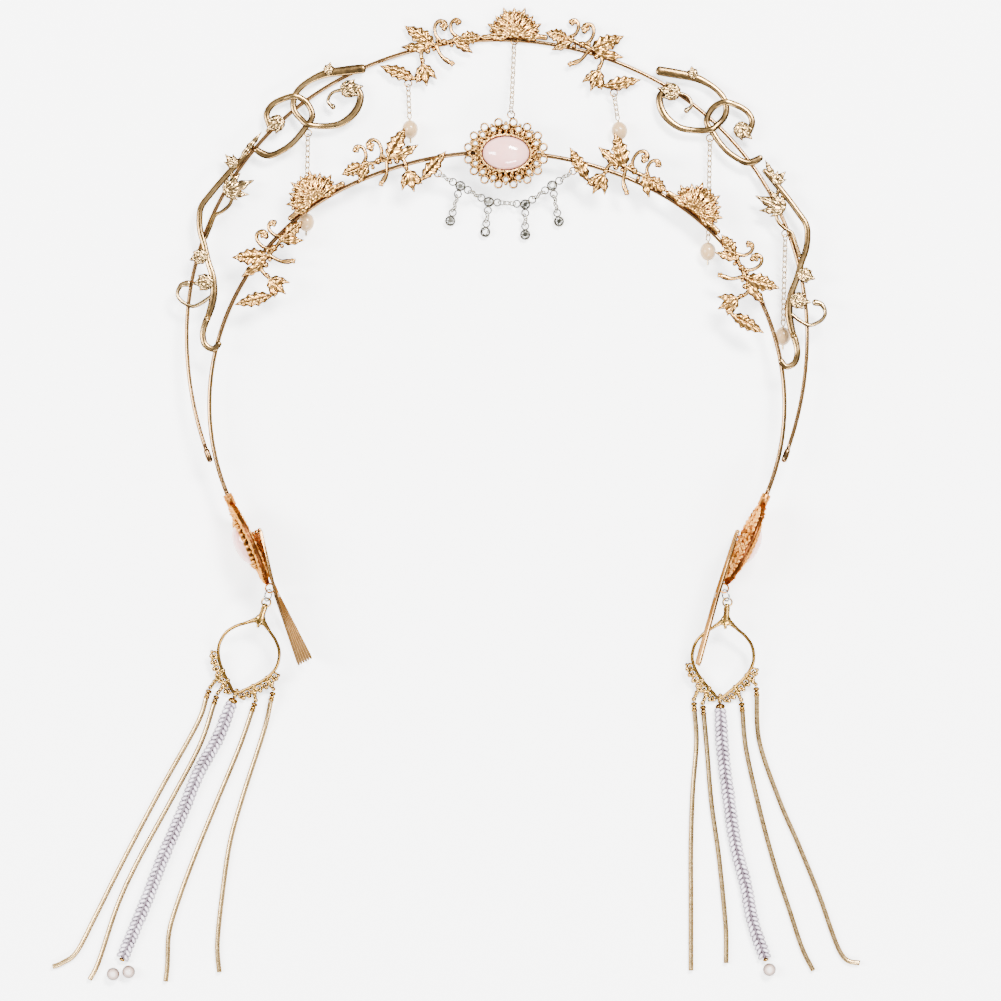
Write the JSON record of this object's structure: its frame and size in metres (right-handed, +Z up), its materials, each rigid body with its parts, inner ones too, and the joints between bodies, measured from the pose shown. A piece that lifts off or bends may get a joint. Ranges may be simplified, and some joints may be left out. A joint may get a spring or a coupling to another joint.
{
  "type": "diadem",
  "caption": "Two-band wire diadem with cast leaf sprays, pink cabochons, pearl drops, a swag of small stones, hair combs and tassels on hoops, lying flat.",
  "frame": {"origin": "on the surface that the diadem lies on, below the middle of the head opening at its widest level", "axes": "+X across the head opening, to the right of the picture, +Y towards the crest of the crown band, +Z up from the surface"},
  "size_m": [0.218, 0.263, 0.0175],
  "materials": {
    "gold_wire": "polished wire",
    "cast_rose_gold": "cast, satin with dark recesses",
    "fine_gold": "polished",
    "hoop_gold": "polished",
    "comb_wire": "polished wire",
    "silver_wire": "polished wire",
    "snake_chain_metal": "fine ribbed",
    "pink_cabochon": "polished",
    "cream_pearl": "lustre",
    "seed_pearl": "lustre",
    "clear_rhinestone": "faceted"
  },
  "bodies": {
    "root": {"front_band": "gold_wire", "crown_band": "gold_wire", "front_leaf_spray_l": "cast_rose_gold", "front_leaf_spray_r": "cast_rose_gold", "side_leaf_spray_l": "cast_rose_gold", "side_leaf_spray_r": "cast_rose_gold", "crown_leaf_spray_l": "cast_rose_gold", "crown_leaf_spray_r": "cast_rose_gold", "front_fan_l": "cast_rose_gold", "front_fan_r": "cast_rose_gold", "crown_fan": "cast_rose_gold", "ring_pair_l": "cast_rose_gold", "ring_pair_r": "cast_rose_gold", "leaf_scroll_l": "cast_rose_gold", "leaf_scroll_r": "cast_rose_gold", "centre_setting": "cast_rose_gold", "centre_stone": "pink_cabochon", "centre_chain": "fine_gold", "pearl_chain_l1": "fine_gold", "pearl_chain_l2": "fine_gold", "pearl_chain_r1": "fine_gold", "pearl_chain_r2": "fine_gold", "pearl_chain_r3": "fine_gold", "pearl_l1": "cream_pearl", "pearl_l2": "cream_pearl", "pearl_r1": "cream_pearl", "pearl_r2": "cream_pearl", "pearl_r3": "cream_pearl", "swag_chain": "fine_gold", "swag_settings": "fine_gold", "swag_stones": "clear_rhinestone", "side_plate_l": "cast_rose_gold", "side_plate_r": "cast_rose_gold", "side_stone_l": "pink_cabochon", "side_stone_r": "pink_cabochon", "comb_l": "comb_wire", "comb_r": "comb_wire", "jump_ring_l": "silver_wire", "jump_ring_r": "silver_wire", "hoop_l": "hoop_gold", "hoop_r": "hoop_gold", "snake_chain_l1": "snake_chain_metal", "snake_chain_l2": "snake_chain_metal", "snake_chain_l3": "snake_chain_metal", "snake_chain_l4": "snake_chain_metal", "snake_chain_r1": "snake_chain_metal", "snake_chain_r2": "snake_chain_metal", "snake_chain_r3": "snake_chain_metal", "snake_chain_r4": "snake_chain_metal", "pearl_rope_l": "seed_pearl", "pearl_rope_r": "seed_pearl", "end_pearls_l": "cream_pearl", "end_pearls_r": "cream_pearl"}
  },
  "joints": []
}
